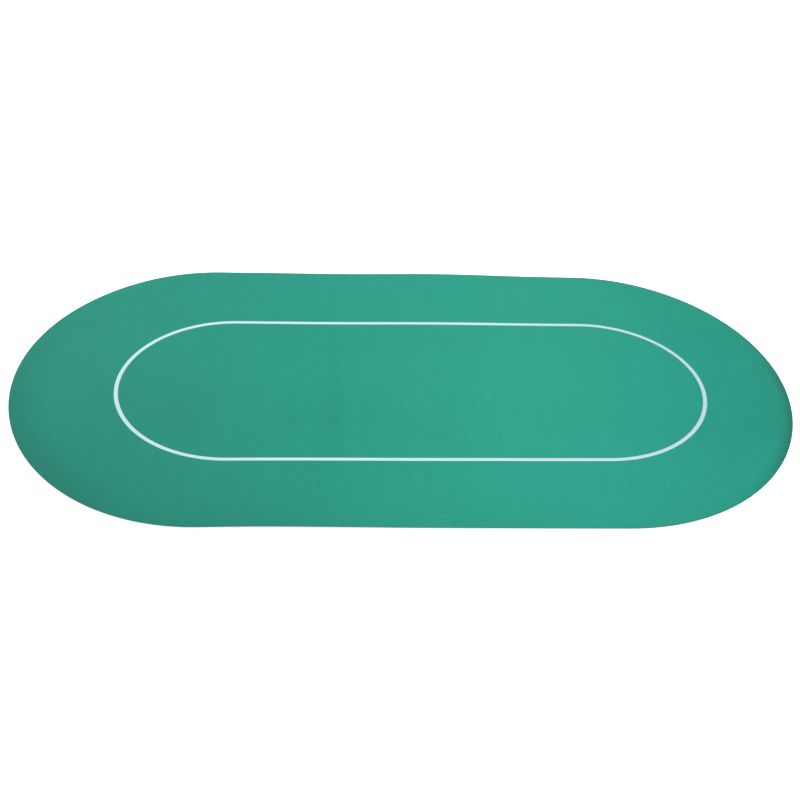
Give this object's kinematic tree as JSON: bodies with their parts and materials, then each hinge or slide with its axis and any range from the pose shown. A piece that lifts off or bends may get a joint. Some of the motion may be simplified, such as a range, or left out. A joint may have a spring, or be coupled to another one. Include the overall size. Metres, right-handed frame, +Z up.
{
  "type": "poker table mat",
  "caption": "Roll-out oval poker table top: a sponge rubber mat faced with green playing cloth, with a white betting line printed round the playing area.",
  "frame": {"origin": "middle of the underside, on the surface that the mat lies on", "axes": "+X along the mat, towards the end that the betting line sits nearer; +Y across it; +Z up, out of the playing surface"},
  "size_m": [1.7996, 0.9, 0.002],
  "materials": {
    "sponge_rubber": "matte",
    "bond_film": "matte",
    "playing_cloth": "matte",
    "line_ink": "matte"
  },
  "bodies": {
    "root": {"foam_base": "sponge_rubber", "bond_film": "bond_film", "face_cloth": "playing_cloth", "betting_line": "line_ink"}
  },
  "joints": []
}
